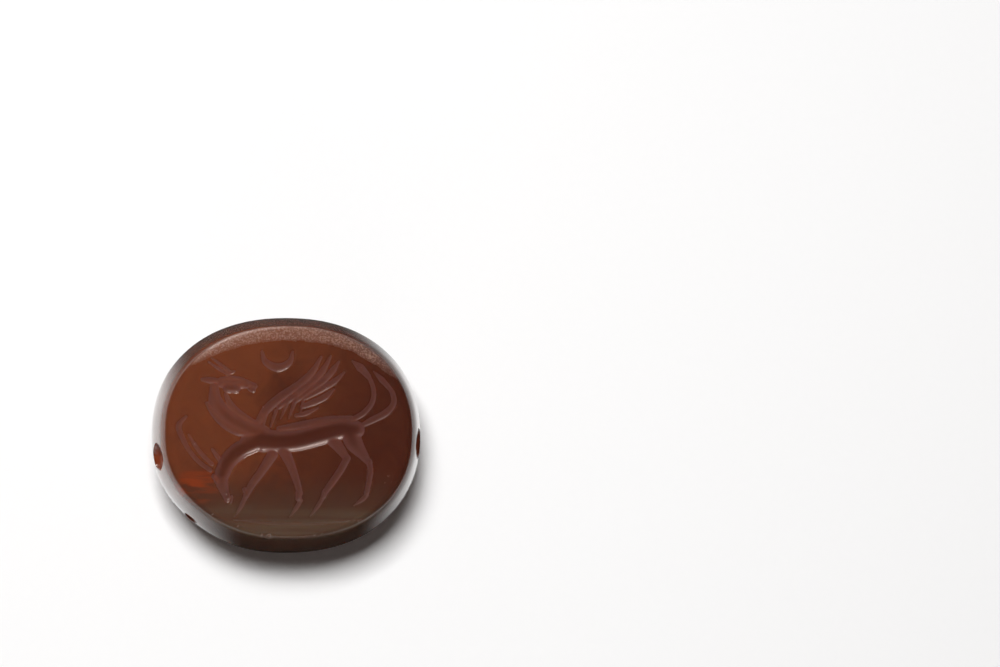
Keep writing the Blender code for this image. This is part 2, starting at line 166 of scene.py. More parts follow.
BODY = {
    "chest_and_belly": Stroke(
        [(-2.3, -0.55), (-1.5, -0.48), (-0.5, -0.52), (0.5, -0.43), (1.6, -0.14), (2.9, 0.18), (3.7, 0.15)],
        [0.95, 1.3, 1.24, 1.24, 1.26, 1.2, 1.0],
        0.34,
    ),
    "back": Stroke([(-0.6, 0.2), (0.8, 0.4), (2.1, 0.62), (3.4, 0.74)], [0.3, 0.5, 0.58, 0.42], 0.2),
}
RAISED_HEAD = {
    "neck": Stroke(
        [(-4.2, 2.5), (-4.08, 1.6), (-3.42, 0.84), (-2.5, 0.27), (-1.5, -0.1)],
        [0.5, 0.85, 1.0, 1.0, 1.0],
        0.24,
    ),
    "throat": Stroke(
        [(-3.55, 2.1), (-3.25, 1.5), (-2.7, 0.96), (-1.95, 0.52)], [0.22, 0.38, 0.42, 0.3], 0.15
    ),
    "mane": Stroke(
        [(-4.6, 1.6), (-4.2, 1.0), (-3.6, 0.4), (-2.9, 0.02), (-2.3, -0.1)], [0.2, 0.34, 0.42, 0.46, 0.3], 0.2
    ),
    "head": Stroke([(-3.75, 2.74), (-3.2, 2.68), (-2.5, 2.68), (-2.0, 2.56)], [0.6, 0.7, 0.5, 0.38], 0.17),
    "brow": Stroke([(-3.85, 2.95), (-3.3, 3.0), (-2.7, 2.93), (-1.95, 2.55)], [0.21, 0.3, 0.25, 0.3], 0.12),
    "cheek": Stroke([(-3.45, 2.46), (-3.0, 2.44)], [0.54, 0.54], 0.23),
    "nose": Stroke([(-2.5, 2.64), (-2.36, 2.6)], [0.28, 0.32], 0.17),
    "jaw": Stroke([(-2.2, 2.42), (-2.04, 2.36)], [0.28, 0.32], 0.16),
    "ear": Stroke([(-4.85, 2.93), (-4.4, 2.88), (-3.85, 2.85)], [0.23, 0.39, 0.25], 0.14),
    "lower_horn": Stroke([(-4.5, 3.9), (-4.0, 3.56), (-3.4, 3.2)], [0.1, 0.18, 0.16], 0.11),
    "upper_horn": Stroke([(-4.35, 4.13), (-3.9, 3.8), (-3.25, 3.3)], [0.08, 0.18, 0.16], 0.11),
    "forelock": Stroke([(-3.15, 3.35), (-3.1, 3.38)], [0.16, 0.16], 0.08),
}
LOWERED_HEAD = {
    "neck": Stroke(
        [(-1.9, -0.62), (-2.75, -1.0), (-3.4, -1.6), (-3.72, -2.3)], [0.95, 1.0, 0.95, 0.85], 0.32
    ),
    "head": Stroke(
        [(-3.75, -2.2), (-3.75, -2.8), (-3.6, -3.3), (-3.45, -3.75)], [0.75, 0.72, 0.5, 0.34], 0.24
    ),
    "brow": Stroke([(-4.2, -2.45), (-4.02, -2.72)], [0.26, 0.3], 0.2),
    "muzzle": Stroke([(-3.55, -3.3), (-3.42, -3.62)], [0.3, 0.3], 0.2),
    "chin": Stroke([(-3.2, -3.6), (-3.25, -3.9)], [0.16, 0.14], 0.1),
    "ear": Stroke([(-4.3, -0.95), (-4.05, -1.3), (-3.8, -1.7)], [0.15, 0.26, 0.2], 0.11),
    "outer_horn": Stroke(
        [(-4.4, -2.12), (-5.0, -1.68), (-5.55, -1.05), (-5.95, -0.3), (-6.15, 0.35), (-5.75, 0.85)],
        [0.26, 0.26, 0.26, 0.31, 0.35, 0.18],
        0.11,
    ),
    "inner_horn": Stroke(
        [(-4.3, -1.78), (-4.75, -1.35), (-5.2, -0.8), (-5.6, -0.15)], [0.24, 0.26, 0.24, 0.13], 0.09
    ),
}
WING = {
    "leading_edge": Stroke(
        [(-1.75, 0.55), (-1.3, 1.25), (-0.5, 1.95), (0.5, 2.65), (1.25, 3.35), (1.75, 4.2)],
        [0.38, 0.53, 0.53, 0.45, 0.4, 0.18],
        0.14,
    ),
    "second_feather": Stroke(
        [(-0.6, 1.4), (0.3, 2.05), (1.2, 2.75), (1.85, 3.45), (2.3, 4.25)], [0.28, 0.4, 0.4, 0.38, 0.15], 0.12
    ),
    "third_feather": Stroke(
        [(0.3, 1.7), (1.1, 2.3), (1.9, 2.9), (2.4, 3.45), (2.75, 3.95)], [0.25, 0.35, 0.38, 0.38, 0.15], 0.12
    ),
    "fourth_feather": Stroke(
        [(0.9, 1.9), (1.7, 2.35), (2.5, 2.85), (3.05, 3.35)], [0.22, 0.35, 0.35, 0.15], 0.11
    ),
    "fifth_feather": Stroke(
        [(0.75, 1.45), (1.4, 1.7), (2.0, 2.0), (2.45, 2.4)], [0.28, 0.4, 0.38, 0.15], 0.12
    ),
    "last_feather": Stroke([(0.35, 0.93), (0.9, 1.05), (1.55, 1.35)], [0.22, 0.3, 0.15], 0.09),
    "shoulder_barb": Stroke([(-1.5, 0.3), (-1.3, 1.05)], [0.2, 0.24], 0.07),
    "second_barb": Stroke([(-1.05, 0.3), (-0.75, 1.2)], [0.14, 0.24], 0.07),
    "third_barb": Stroke([(-0.5, 0.75), (-0.22, 1.4), (-0.02, 1.85)], [0.1, 0.22, 0.2], 0.07),
    "fourth_barb": Stroke([(-0.05, 0.75), (0.22, 1.5), (0.5, 2.2)], [0.1, 0.24, 0.24], 0.08),
    "fifth_barb": Stroke([(0.6, 1.1), (0.82, 2.05)], [0.12, 0.2], 0.06),
}
TAILS = {
    "near_tail": Stroke(
        [(3.6, 0.75), (4.15, 1.1), (4.6, 1.65), (4.7, 2.3), (4.5, 2.95), (4.2, 3.3)],
        [0.33, 0.33, 0.31, 0.29, 0.26, 0.26],
        0.1,
    ),
    "near_tuft": Stroke([(4.4, 3.15), (3.95, 3.62), (3.5, 3.98)], [0.31, 0.48, 0.13], 0.14),
    "far_tail": Stroke(
        [(3.95, 0.34), (4.6, 0.68), (5.35, 1.08), (5.8, 1.6), (5.75, 2.2), (5.4, 2.7)],
        [0.26, 0.4, 0.42, 0.35, 0.31, 0.26],
        0.11,
    ),
    "far_tuft": Stroke([(5.55, 2.5), (5.15, 2.95), (4.7, 3.4)], [0.26, 0.37, 0.11], 0.1),
}
LEGS = {
    "near_thigh": Stroke(
        [(3.35, 0.05), (3.6, -0.6), (4.05, -1.2), (4.42, -1.7)], [1.15, 1.0, 0.62, 0.36], 0.27
    ),
    "near_shank": Stroke(
        [(4.45, -1.65), (4.5, -2.2), (4.42, -2.8), (4.3, -3.35)], [0.32, 0.32, 0.3, 0.28], 0.16
    ),
    "near_hoof": Stroke([(4.3, -3.5), (4.05, -3.75), (3.55, -4.1)], [0.26, 0.28, 0.08], 0.07),
    "far_thigh": Stroke([(2.35, -0.35), (2.75, -0.85), (3.15, -1.4)], [0.8, 0.6, 0.42], 0.18),
    "far_shank": Stroke(
        [(3.2, -1.45), (2.85, -2.1), (2.4, -2.75), (2.0, -3.3)], [0.42, 0.42, 0.4, 0.34], 0.16
    ),
    "far_fetlock": Stroke([(1.98, -3.3), (1.9, -3.55)], [0.32, 0.3], 0.14),
    "far_hoof": Stroke([(1.85, -3.65), (1.55, -4.15), (1.12, -4.7)], [0.26, 0.26, 0.08], 0.07),
    "near_foreleg": Stroke(
        [(-0.35, -0.95), (0.05, -1.8), (0.35, -2.6), (0.58, -3.4)], [0.7, 0.52, 0.42, 0.34], 0.19
    ),
    "near_forefetlock": Stroke([(0.5, -3.4), (0.5, -3.68)], [0.34, 0.34], 0.16),
    "near_forehoof": Stroke([(0.62, -3.8), (0.35, -4.25), (-0.02, -4.72)], [0.26, 0.26, 0.08], 0.07),
    "far_foreleg": Stroke(
        [(-0.95, -1.25), (-1.5, -2.1), (-2.05, -2.85), (-2.4, -3.5)], [0.62, 0.5, 0.44, 0.34], 0.18
    ),
    "far_knee": Stroke([(-2.5, -3.2), (-2.48, -3.28)], [0.26, 0.26], 0.12),
    "far_forehoof": Stroke([(-2.42, -3.55), (-2.7, -4.15), (-3.05, -4.72)], [0.3, 0.26, 0.08], 0.07),
}
SETTING = {
    "crescent": Stroke(
        [(-1.55, 4.5), (-1.34, 3.92), (-0.68, 3.6), (-0.02, 3.9), (0.16, 4.48)],
        [0.16, 0.38, 0.5, 0.38, 0.16],
        0.16,
    ),
    "ground": Stroke(
        [(-3.1, -4.88), (-1.0, -5.08), (1.2, -5.1), (4.1, -4.88)], [0.12, 0.2, 0.2, 0.12], 0.025
    ),
}
# Small pits in the field: place, width and depth in millimetres
PITS = (
    ((-1.46, 1.4), 0.2, 0.05),
    ((2.06, 2.5), 0.18, 0.04),
    ((-5.27, -0.65), 0.22, 0.05),
    ((-4.49, 4.45), 0.24, 0.06),
    ((-3.65, 4.75), 0.18, 0.04),
    ((-4.25, -4.55), 0.2, 0.05),
    ((-2.85, -5.2), 0.22, 0.05),
    ((3.85, -5.0), 0.18, 0.04),
    ((5.5, -2.45), 0.7, 0.01),
    ((5.75, -2.8), 0.6, 0.01),
    ((5.3, -2.8), 0.4, 0.01),
    # Three shallow frosted spots along the near tuft: a painted highlight in place of its glint
    ((3.78, 3.78), 0.3, 0.02),
    ((3.96, 3.62), 0.36, 0.02),
    ((4.14, 3.46), 0.28, 0.02),
    # Three pits whose pale frost also paints their glints
    ((0.53, -3.66), 0.16, 0.05),
    ((1.93, -3.38), 0.16, 0.05),
    ((-3.49, -3.44), 0.2, 0.05),
)
# Frost of a pit, which is partly wear and partly a painted highlight for the glints of the pits and of the
# near tuft: the least, what each millimetre of its depth adds, and the most
PIT_FROST_AND_GLINT = (0.35, 10, 0.8)

# Dents in the rim: direction in degrees, height above the girth, width and depth in millimetres
RIM_DENTS = (
    (262, 3.2, 0.5, 0.13),
    (259, 3.16, 0.3, 0.07),
    (300, 3.18, 0.3, 0.05),
    (236, 3.18, 0.34, 0.05),
    (52, 3.1, 0.5, 0.07),
    (38, 3.12, 0.4, 0.06),
    (131, 3.1, 0.4, 0.06),
)
DENT_UNEVENNESS = 0.45
DENT_GRAIN = 0.12 * MM
DENT_DOWNWARD = 0.5
DENT_FROST = 1.5

# What settings of one kind have in common
FINE_LENGTH = {"subtype": "DISTANCE", "unit": "LENGTH", "precision": 6}
COLOUR = {"subtype": "COLOR", "min": 0.0, "max": 1.0}


class StoneSettings(bpy.types.PropertyGroup):
    """How crisply the stone is carved and how far it is worn."""

    cut_softness: FloatProperty(
        name="Cut softness",
        description="Rounding where a cut meets the polished field",
        default=0.055 * MM,
        min=0.0,
        **FINE_LENGTH,
    )
    cut_blend: FloatProperty(
        name="Cut blend",
        description="Rounding where one cut runs into another",
        default=0.08 * MM,
        min=0.001 * MM,
        **FINE_LENGTH,
    )
    band_roughness: FloatProperty(
        name="Band roughness",
        description="Height of the grains in the frosted band",
        default=0.024 * MM,
        min=0.0,
        **FINE_LENGTH,
    )
    seed: IntProperty(name="Seed", description="Which chance pattern the wear takes", default=7)


class CarnelianSettings(bpy.types.PropertyGroup):
    """Colours of the stone and of its worn and cut surfaces."""

    body: FloatVectorProperty(
        name="Body",
        description="Red-brown of most of the stone",
        default=(0.07, 0.0172, 0.0085),
        **COLOUR,
    )
    honey: FloatVectorProperty(
        name="Honey",
        description="Warm brown where the stone is clearer",
        default=(0.147, 0.0385, 0.0152),
        **COLOUR,
    )
    # Liver red is the stone's own dense colour, and it is also painted into the deepest part of each cut as
    # shade.
    liver_and_cut_shade: FloatVectorProperty(
        name="Liver",
        description="Dark red in the densest part",
        default=(0.052, 0.011, 0.0062),
        **COLOUR,
    )
    olive: FloatVectorProperty(
        name="Olive",
        description="Dull brown layer at the lower side",
        default=(0.066, 0.0285, 0.0175),
        **COLOUR,
    )
    ember: FloatVectorProperty(
        name="Ember",
        description="Orange-red streaks and the walls of the bore",
        default=(0.22, 0.037, 0.0105),
        **COLOUR,
    )
    # The ground-cut colour is laid on more thickly on steep walls, as painted light.
    ground: FloatVectorProperty(
        name="Ground cuts",
        description="Mauve bloom of the unpolished cuts",
        default=(0.155, 0.061, 0.052),
        **COLOUR,
    )
    frost: FloatVectorProperty(
        name="Frost",
        description="Pale grains of the worn rim",
        default=(0.34, 0.2, 0.155),
        **COLOUR,
    )
    haze: FloatVectorProperty(
        name="Haze",
        description="Greyish seam along the lower rim",
        default=(0.1, 0.07, 0.045),
        **COLOUR,
    )


class TableSettings(bpy.types.PropertyGroup):
    """The table, the lights and the view."""

    table: FloatVectorProperty(
        name="Table",
        description="Colour of the pale table",
        default=(0.93, 0.93, 0.93),
        **COLOUR,
    )
    top_power: FloatProperty(
        name="Top light",
        description="Power of the soft light over the table",
        default=0.95,
        unit="POWER",
    )
    glint_power: FloatProperty(
        name="Glint light",
        description="Power of the light that shows in the polish",
        default=0.42,
        unit="POWER",
    )
    fill_power: FloatProperty(
        name="Fill light",
        description="Power of the low light on the near side",
        default=0.07,
        unit="POWER",
    )
    view_distance: FloatProperty(
        name="View distance",
        description="From the stone to the camera",
        default=180 * MM,
        subtype="DISTANCE",
        unit="LENGTH",
    )
    lens: FloatProperty(
        name="Lens",
        description="Focal length",
        default=114.0,
        subtype="DISTANCE_CAMERA",
        unit="CAMERA",
    )


# Shape of the uncut stone


def fullness(angle):
    """1 all round, and slightly less where the outline is flattened."""
    away = min(1.0, abs(math.remainder(angle - FLATTER_SIDE, math.tau)) / FLATTER_SPAN)
    return 1 - FLATTER_BY * (1 + math.cos(away * math.pi)) / 2


def oval(angle, half_length, half_width):
    """A point of the rounded outline that every level of the stone has."""
    cosine, sine = math.cos(angle), math.sin(angle)
    x = half_length * math.copysign(abs(cosine) ** (2 / SQUARENESS), cosine)
    y = half_width * math.copysign(abs(sine) ** (2 / SQUARENESS), sine)
    return x * fullness(angle), y * fullness(angle)


def oval_angle(x, y):
    """The angle at which oval() gives a point this way, on an outline as long as it is wide."""
    side = math.copysign(abs(y) ** (SQUARENESS / 2), y)
    along = math.copysign(abs(x) ** (SQUARENESS / 2), x)
    return math.atan2(side, along)


def worn_share(angle):
    """How worn the rim is in this direction: 1 at the middle of the worn band, 0 away from it."""
    away = abs(math.remainder(angle - WORN_MIDDLE, math.tau)) / WORN_HALF_SPAN
    return max(0.0, 1 - away**WORN_END_CURVE)


def mix(first, last, share):
    """The first at share 0, the last at share 1, and in between in proportion."""
    return first + (last - first) * share


def rim_drop(angle, inward=0.0):
    """How far the worn rim lies below the field, this far in from the edge of the face."""
    share = worn_share(angle)
    left = max(0.0, 1 - inward / mix(END_ROUND, WORN_BAND, share))
    return WORN_DROP * share * left**WORN_CURVE


def rim_round(angle):
    """Width of the soft edge in this direction."""
    return mix(SIDE_ROUND, END_ROUND, abs(math.cos(angle)) ** END_ROUND_CURVE)


def flank_point(angle, height):
    """A point of the flank this high above the girth."""
    inset = (height / FACE_TO_GIRTH) ** FLANK_CURVE
    half_length = mix(HALF_LENGTH, FACE_HALF_LENGTH, inset)
    half_width = mix(HALF_WIDTH, FACE_HALF_WIDTH, inset)
    return Vector((*oval(angle, half_length, half_width), GIRTH_HEIGHT + height))


def dome_point(angle, turn):
    """A point of the back, from turn 0 at the girth to turn 1 at the edge of the flat spot."""
    last_turn = math.acos(FLAT_SPOT_SHARE ** (DOME_FULLNESS / 2))
    share = math.cos(turn * last_turn) ** (2 / DOME_FULLNESS)
    fall = (math.sin(turn * last_turn) / math.sin(last_turn)) ** (2 / DOME_FULLNESS)
    return Vector((*oval(angle, HALF_LENGTH * share, HALF_WIDTH * share), GIRTH_HEIGHT * (1 - fall)))


def edge_point(angle, share):
    """A point of the soft edge between the face, at share 0, and the flank, at share 1."""
    width = rim_round(angle)
    top = FACE_TO_GIRTH - rim_drop(angle)
    border = THICKNESS - rim_drop(angle, width)
    start = Vector((*oval(angle, FACE_HALF_LENGTH - width, FACE_HALF_WIDTH - width), border))
    corner = flank_point(angle, top)
    stop = flank_point(angle, top - EDGE_REACH * width)
    return start.lerp(corner, share).lerp(corner.lerp(stop, share), share)


def flank_top(angle):
    """Height over the girth at which the soft edge ends and the flank begins."""
    return FACE_TO_GIRTH - rim_drop(angle) - EDGE_REACH * rim_round(angle)


def ring_places():
    """One function of the angle for each ring below the face, down to the flat spot."""
    places = [lambda angle, s=ring / EDGE_RINGS: edge_point(angle, s) for ring in range(1, EDGE_RINGS + 1)]
    for ring in range(1, FLANK_RINGS + 1):
        share = 1 - (ring / FLANK_RINGS) ** RING_CROWDING
        places.append(lambda angle, s=share: flank_point(angle, flank_top(angle) * s))
    for ring in range(1, DOME_RINGS + 1):
        places.append(lambda angle, s=ring / DOME_RINGS: dome_point(angle, s))
    return places


# Engraving and wear of the face, as heights under each point of the face


def smooth_path(stroke):
    """Closely spaced points and widths along a smooth curve through a stroke's points."""
    points = [np.array(point) for point in stroke.points]
    ends = [points[0] * 2 - points[1], *points, points[-1] * 2 - points[-2]]
    path, widths = [], []
    for i in range(1, len(points)):
        before, start, stop, after = ends[i - 1 : i + 3]
        for step in range(PATH_STEPS + (i == len(points) - 1)):
            share = step / PATH_STEPS
            slope = (stop - before) * share
            curl = (before * 2 - start * 5 + stop * 4 - after) * share**2
            twist = (start * 3 - before - stop * 3 + after) * share**3
            path.append(start + (slope + curl + twist) / 2)
            widths.append(mix(stroke.widths[i - 1], stroke.widths[i], share))
    return np.array(path), np.array(widths)


def round_cut(away, width, depth):
    """Signed depth of a round-nosed cut at this distance from its line: below zero outside it."""
    half = width / 2
    radius = (half**2 + depth**2) / (2 * depth)
    inside = np.sqrt(np.maximum(radius**2 - np.minimum(away, half) ** 2, 0)) - (radius - depth)
    edge_slope = half / np.maximum(radius - depth, half / STEEPEST_EDGE)
    return np.where(away < half, inside, (half - away) * edge_slope)


def bell(away):
    """1 at the middle, falling smoothly to 0 at a distance of 1."""
    return (1 + np.cos(np.minimum(away, 1) * math.pi)) / 2


def stroke_depth(stroke, x, y):
    """Signed depth of one stroke at the points x, y, in millimetres."""
    path, widths = smooth_path(stroke)
    found = np.full(x.shape, -1.0)
    for start, stop, first, last in zip(path, path[1:], widths, widths[1:]):
        line = stop - start
        reach = max(first, last) / 2 + CUT_REACH
        near = np.flatnonzero(
            (np.abs(x - (start[0] + stop[0]) / 2) < abs(line[0]) / 2 + reach)
            & (np.abs(y - (start[1] + stop[1]) / 2) < abs(line[1]) / 2 + reach)
        )
        over, up = x[near] - start[0], y[near] - start[1]
        share = np.clip((over * line[0] + up * line[1]) / max(line @ line, 1e-9), 0, 1)
        away = np.hypot(over - share * line[0], up - share * line[1])
        width = mix(first, last, share)
        depth = stroke.depth * (width / widths.max()) ** DEPTH_TAPER
        found[near] = np.maximum(found[near], round_cut(away, width, depth))
    return found


def engraving_depth(x, y, settings):
    """Depth of the whole engraving at points of the face, all in metres."""
    across, up = x / MM, y / MM
    blend = settings.cut_blend / MM
    soft = settings.cut_softness / MM
    total = np.full(x.shape, -1.0)
    for group in (BODY, RAISED_HEAD, LOWERED_HEAD, WING, TAILS, LEGS, SETTING):
        for stroke in group.values():
            depth = stroke_depth(stroke, across, up)
            overlap = np.maximum(blend - np.abs(total - depth), 0) / blend
            total = np.maximum(total, depth) + overlap**2 * blend / 4
    total = (total + np.sqrt(total**2 + soft**2)) / 2
    for (x_pit, y_pit), width, depth in PITS:
        total += depth * bell(np.hypot(across - x_pit, up - y_pit) / (width / 2))
    return total * MM


def grains(x, y, size, seed):
    """Smooth chance values from -1 to 1, in grains of this size."""
    return np.array([noise.noise(Vector((a / size, b / size, seed))) for a, b in zip(x, y)])


def rim_distance(x, y):
    """Distance in from the rim and the outline angle of points of the face."""
    over, up = x / FACE_HALF_LENGTH, y / FACE_HALF_WIDTH
    angle = np.array([oval_angle(a, b) for a, b in zip(over, up)])
    full = np.array([fullness(a) for a in angle])
    level = (np.abs(over) ** SQUARENESS + np.abs(up) ** SQUARENESS) ** (1 / SQUARENESS) / full
    inward = (1 - level) * np.hypot(x, y) / np.maximum(level, 1e-6)
    return inward, angle


def rim_wear(x, y, settings):
    """How far down the worn rim lies, and how frosted it is, at points of the face."""
    inward, angle = rim_distance(x, y)
    share = np.array([worn_share(a) for a in angle])
    drop = np.array([rim_drop(a, max(i, 0.0)) for a, i in zip(angle, inward)])
    uneven = 1 + BAND_UNEVENNESS * grains(x, y, BAND_PATCH_SIZE, settings.seed)
    inside_band = (WORN_BAND * share * uneven - inward) / FROST_FADE
    frosted = 1 - bell(np.clip(inside_band + FROST_LEAD, 0, 1))
    fine = grains(x, y, FINE_GRAIN, settings.seed + 1)
    coarse = grains(x, y, COARSE_GRAIN, settings.seed + 2)
    edge_fade = np.clip((inward - GRAINS_START) / GRAINS_FADE, 0, 1)
    pitting = np.clip(fine + COARSE_GRAIN_SHARE * coarse, 0, 1) * frosted * edge_fade
    lower = np.exp(-(((angle + math.pi / 2) / LOWER_LINE_TURN) ** 2))
    lower *= bell(np.abs(inward - LOWER_LINE_INWARD) / LOWER_LINE_HALF_WIDTH)
    return drop + settings.band_roughness * pitting, np.maximum(frosted, LOWER_LINE_FROST * lower)


# The stone's mesh


def face_mesh(settings):
    """The carved face: a fine square grid, laid into the oval outline and then lowered."""
    work = bmesh.new()
    angle_layer = work.verts.layers.float.new("outline_angle")
    bmesh.ops.create_grid(work, x_segments=FACE_COLUMNS, y_segments=FACE_ROWS, size=1.0)
    for vert in work.verts:
        u, v = vert.co.x, vert.co.y
        over, up = u * math.sqrt(1 - v * v / 2), v * math.sqrt(1 - u * u / 2)
        radius = math.hypot(over, up)
        if radius > 0:
            level = (abs(over) ** SQUARENESS + abs(up) ** SQUARENESS) ** (1 / SQUARENESS)
            over, up = over * radius / level, up * radius / level
        vert[angle_layer] = oval_angle(over, up)
        width = rim_round(vert[angle_layer])
        full = mix(1, fullness(vert[angle_layer]), radius**2)
        vert.co.x = over * full * (FACE_HALF_LENGTH - width)
        vert.co.y = up * full * (FACE_HALF_WIDTH - width)
    places = np.array([vert.co[:2] for vert in work.verts])
    x, y = places[:, 0], places[:, 1]
    cut = engraving_depth(x, y, settings)
    drop, _ = rim_wear(x, y, settings)
    for vert, down in zip(work.verts, cut + drop):
        vert.co.z = THICKNESS - down
        if vert.is_boundary:
            vert.co = edge_point(vert[angle_layer], 0)
    return work


def open_edges(parts):
    """The open edges among these parts of a mesh."""
    return [part for part in parts if isinstance(part, bmesh.types.BMEdge) and part.is_boundary]


def flank_and_back_mesh(face):
    """Rings drawn out from the face's border, down the flank and round the back, under a fan."""
    work = face.copy()
    grid = work.faces[:]
    angle_layer = work.verts.layers.float["outline_angle"]
    border = open_edges(work.edges)
    for place in ring_places():
        drawn = bmesh.ops.extrude_edge_only(work, edges=border)["geom"]
        for vert in [item for item in drawn if isinstance(item, bmesh.types.BMVert)]:
            vert.co = place(vert[angle_layer])
        border = open_edges(drawn)
    bmesh.ops.contextual_create(work, geom=border)
    bmesh.ops.delete(work, geom=grid, context="FACES")
    lid = bmesh.ops.contextual_create(work, geom=open_edges(work.edges))["faces"]
    bmesh.ops.poke(work, faces=lid)
    bmesh.ops.recalc_face_normals(work, faces=work.faces)
    return work


def join_face(belt, face):
    """The cut flank and back with the carved face in place of the fan."""
    work = bmesh.new()
    work.from_mesh(belt.data)
    upper = [vert for vert in work.verts if vert.co.z > BORE_HEIGHT]
    fan_middle = min(upper, key=lambda vert: vert.co.xy.length)
    bmesh.ops.delete(work, geom=[fan_middle], context="VERTS")
    carved = bpy.data.meshes.new("carved_face")
    face.to_mesh(carved)
    face.free()
    work.from_mesh(carved)
    bpy.data.meshes.remove(carved)
    rim = [vert for vert in work.verts if vert.is_boundary]
    bmesh.ops.remove_doubles(work, verts=rim, dist=SAME_PLACE)
    work.verts.layers.float.remove(work.verts.layers.float["outline_angle"])
    bpy.data.objects.remove(belt)
    return as_object("engraved_seal_stone", work)


def as_object(name, work):
    """The shape as an object, shaded smooth."""
    for face in work.faces:
        face.smooth = True
    mesh = bpy.data.meshes.new(name)
    work.to_mesh(mesh)
    work.free()
    thing = bpy.data.objects.new(name, mesh)
    bpy.context.scene.collection.objects.link(thing)
    return thing


def bore_cutter():
    """The bore with its flared mouths, as a solid."""
    end = HALF_LENGTH + BORE_PAST_END
    throat = HALF_LENGTH - BORE_FLARE_LENGTH
    radius = BORE_DIAMETER / 2
    wide = mix(radius, BORE_MOUTH_DIAMETER / 2, (end - throat) / BORE_FLARE_LENGTH)
    work = bmesh.new()
    facing_x = Matrix(((0, 0, 1, 0), (1, 0, 0, 0), (0, 1, 0, 0), (0, 0, 0, 1)))
    bmesh.ops.create_circle(work, cap_ends=False, segments=BORE_SIDES, radius=1.0, matrix=facing_x)
    ring = work.edges[:]
    start = ring
    levels = ((-end, wide), (-throat, radius), (throat, radius), (end, wide))
    for i, (x, size) in enumerate(levels):
        if i:
            drawn = bmesh.ops.extrude_edge_only(work, edges=ring)["geom"]
            ring = open_edges(drawn)
        for vert in {vert for edge in ring for vert in edge.verts}:
            vert.co = Vector((x, *(vert.co.yz.normalized() * size)))
    bmesh.ops.contextual_create(work, geom=start)
    bmesh.ops.contextual_create(work, geom=ring)
    place = Matrix.Translation((0, BORE_ASIDE, BORE_HEIGHT)) @ Matrix.Rotation(BORE_TURN, 4, "Z")
    bmesh.ops.transform(work, matrix=place, verts=work.verts)
    bmesh.ops.recalc_face_normals(work, faces=work.faces)
    return as_object("bore_cutter", work)


def hollow_cutter(name, middle, radii, turn, unevenness, seed):
    """A rounded hollow with a slightly uneven wall, such as a chip or a worn mouth."""
    work = bmesh.new()
    bmesh.ops.create_icosphere(work, subdivisions=4, radius=1.0)
    for vert in work.verts:
        place = vert.co * LUMP_SCALE + Vector((seed, 0, 0))
        vert.co *= 1 + unevenness * noise.fractal(place, *LUMP_FRACTAL)
    shape = Matrix.Rotation(turn, 4, "Z") @ Matrix.Diagonal((*radii, 1))
    bmesh.ops.transform(work, matrix=Matrix.Translation(middle) @ shape, verts=work.verts)
    return as_object(name, work)


def cutters():
    """Everything that is taken out of the flank: the bore, its worn mouths and the chip."""
    made = [bore_cutter()]
    for name, side, radii in (("left", -1, LEFT_MOUTH_WEAR), ("right", 1, RIGHT_MOUTH_WEAR)):
        x = side * HALF_LENGTH
        middle = (x, BORE_ASIDE + x * math.tan(BORE_TURN), BORE_HEIGHT + MOUTH_WEAR_ABOVE_BORE)
        made.append(hollow_cutter(f"{name}_mouth_cutter", middle, radii, 0, MOUTH_UNEVENNESS, side))
    place = flank_point(CHIP_DIRECTION, CHIP_ABOVE_GIRTH)
    turn = math.atan2(place.y, place.x)
    made.append(hollow_cutter("chip_cutter", place, CHIP_RADII, turn, CHIP_UNEVENNESS, CHIP_SEED))
    return made


def cut_out(stone, tools):
    """Take these solids out of the stone."""
    group = bpy.data.collections.new("cutters")
    for tool in tools:
        group.objects.link(tool)
    modifier = stone.modifiers.new("Bore and chip", "BOOLEAN")
    modifier.operation = "DIFFERENCE"
    modifier.solver = "EXACT"
    modifier.operand_type = "COLLECTION"
    modifier.collection = group
    graph = bpy.context.evaluated_depsgraph_get()
    carved = bpy.data.meshes.new_from_object(stone.evaluated_get(graph))
    stone.modifiers.clear()
    rough = stone.data
    stone.data = carved
    carved.name = rough.name
    bpy.data.meshes.remove(rough)
    for tool in tools:
        bpy.data.objects.remove(tool)
    bpy.data.collections.remove(group)


def inside_share(points):
    """1 on the outer surface of the uncut stone, less inside it."""
    x, y, z = points.T
    above = np.clip((z - GIRTH_HEIGHT) / FACE_TO_GIRTH, 0, 1) ** FLANK_CURVE
    fall = np.clip(1 - z / GIRTH_HEIGHT, 0, 1)
    shown = np.clip(1 - fall**DOME_FULLNESS * (1 - FLAT_SPOT_SHARE**DOME_FULLNESS), 0, 1)
    under = shown ** (1 / DOME_FULLNESS)
    half_length = mix(HALF_LENGTH, FACE_HALF_LENGTH, above) * under
    half_width = mix(HALF_WIDTH, FACE_HALF_WIDTH, above) * under
    over, up = x / half_length, y / half_width
    full = np.array([fullness(oval_angle(a, b)) for a, b in zip(over, up)])
    return (np.abs(over) ** SQUARENESS + np.abs(up) ** SQUARENESS) ** (1 / SQUARENESS) / full


def vectors_of(items, name):
    """The named vector of each item, such as a place or a normal, one to a row."""
    values = np.empty(len(items) * 3)
    items.foreach_get(name, values)
    return values.reshape(-1, 3)


def frost_near_face(points, settings):
    """How frosted points near the face are, by the wear of the rim and by the pits, whose frost is partly a
    painted highlight.
    """
    x, y, z = points.T
    drop, frosted = rim_wear(x, y, settings)
    frosted *= np.clip((z - THICKNESS + drop + FROST_DROP) / FROST_DROP_FADE, 0, 1)
    least, per_depth, most = PIT_FROST_AND_GLINT
    for (x_pit, y_pit), width, depth in PITS:
        away = np.hypot(x - x_pit * MM, y - y_pit * MM) / (width * MM / 2)
        frosted = np.maximum(frosted, min(most, least + per_depth * depth) * bell(away))
    return frosted


